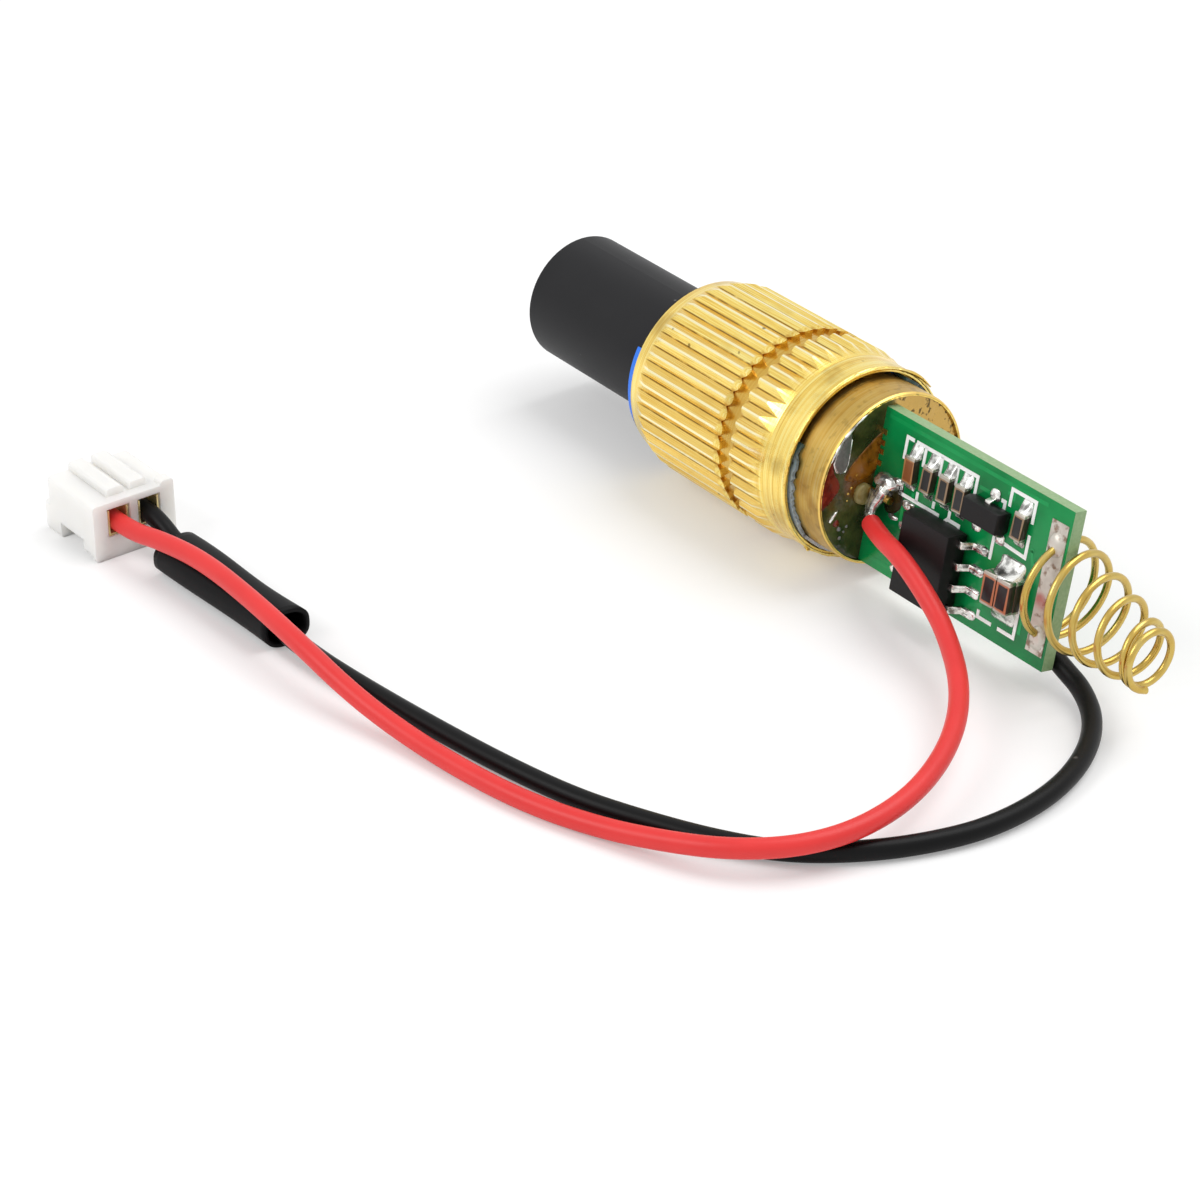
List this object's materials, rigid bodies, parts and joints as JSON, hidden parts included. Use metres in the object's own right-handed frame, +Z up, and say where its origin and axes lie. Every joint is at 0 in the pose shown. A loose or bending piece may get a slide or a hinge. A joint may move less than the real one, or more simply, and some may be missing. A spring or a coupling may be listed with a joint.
{
  "type": "laser diode module",
  "caption": "Laser diode module: black lens barrel in a knurled brass sleeve, driver board on edge with a conical contact spring, and red and black leads to a white two-way plug.",
  "frame": {"origin": "middle of the module's length, on the floor under its axis, leaving out the leads and the plug", "axes": "+X along the module axis from the lens to the contact spring (the beam leaves along -X), +Z up, the board's component side faces -Y"},
  "size_m": [0.0566, 0.0417, 0.012],
  "materials": {
    "black_anodised": "satin black anodised",
    "turned_brass": "turned and knurled",
    "dull_brass": "turned, dull",
    "blue_film": "thin film",
    "lens_glass": "clear, coated",
    "plated": "gold plated",
    "resin": "dark olive resin",
    "board_green": "green solder mask",
    "solder": "bright tin",
    "package_black": "moulded",
    "resistor_black": "glazed chip",
    "spring_brass": "drawn wire",
    "red_pvc": "wire insulation",
    "black_pvc": "wire insulation",
    "shrink_black": "heat-shrink tube",
    "white_nylon": "milky nylon"
  },
  "bodies": {
    "root": {"lens_barrel": "black_anodised", "lens_retainer": "black_anodised", "collimating_lens": "lens_glass", "knurled_sleeve": "turned_brass", "film_wrap": "blue_film", "brass_body": "dull_brass", "diode_stem": "plated", "diode_cap": "plated", "diode_window": "lens_glass", "diode_pin_1": "plated", "diode_pin_2": "plated", "diode_pin_3": "plated", "resin_fill": "resin", "circuit_board": "board_green", "spring_pad": "solder", "driver_chip": "package_black", "chip_lead_1": "solder", "chip_lead_2": "solder", "chip_lead_3": "solder", "chip_lead_4": "solder", "chip_lead_5": "solder", "chip_lead_6": "solder", "chip_lead_7": "solder", "chip_lead_8": "solder", "transistor": "package_black", "transistor_lead_1": "solder", "transistor_lead_2": "solder", "transistor_lead_3": "solder", "resistor_1": "resistor_black", "resistor_2": "resistor_black", "resistor_3": "resistor_black", "resistor_4": "resistor_black", "resistor_5": "resistor_black", "sense_resistor_1": "resistor_black", "sense_resistor_2": "resistor_black", "sense_resistor_3": "resistor_black", "sense_resistor_4": "resistor_black", "red_solder": "solder", "black_solder": "solder", "contact_spring": "spring_brass", "red_lead": "red_pvc", "black_lead": "black_pvc", "heat_shrink": "shrink_black", "plug_housing": "white_nylon", "red_terminal": "plated", "black_terminal": "plated"}
  },
  "joints": []
}
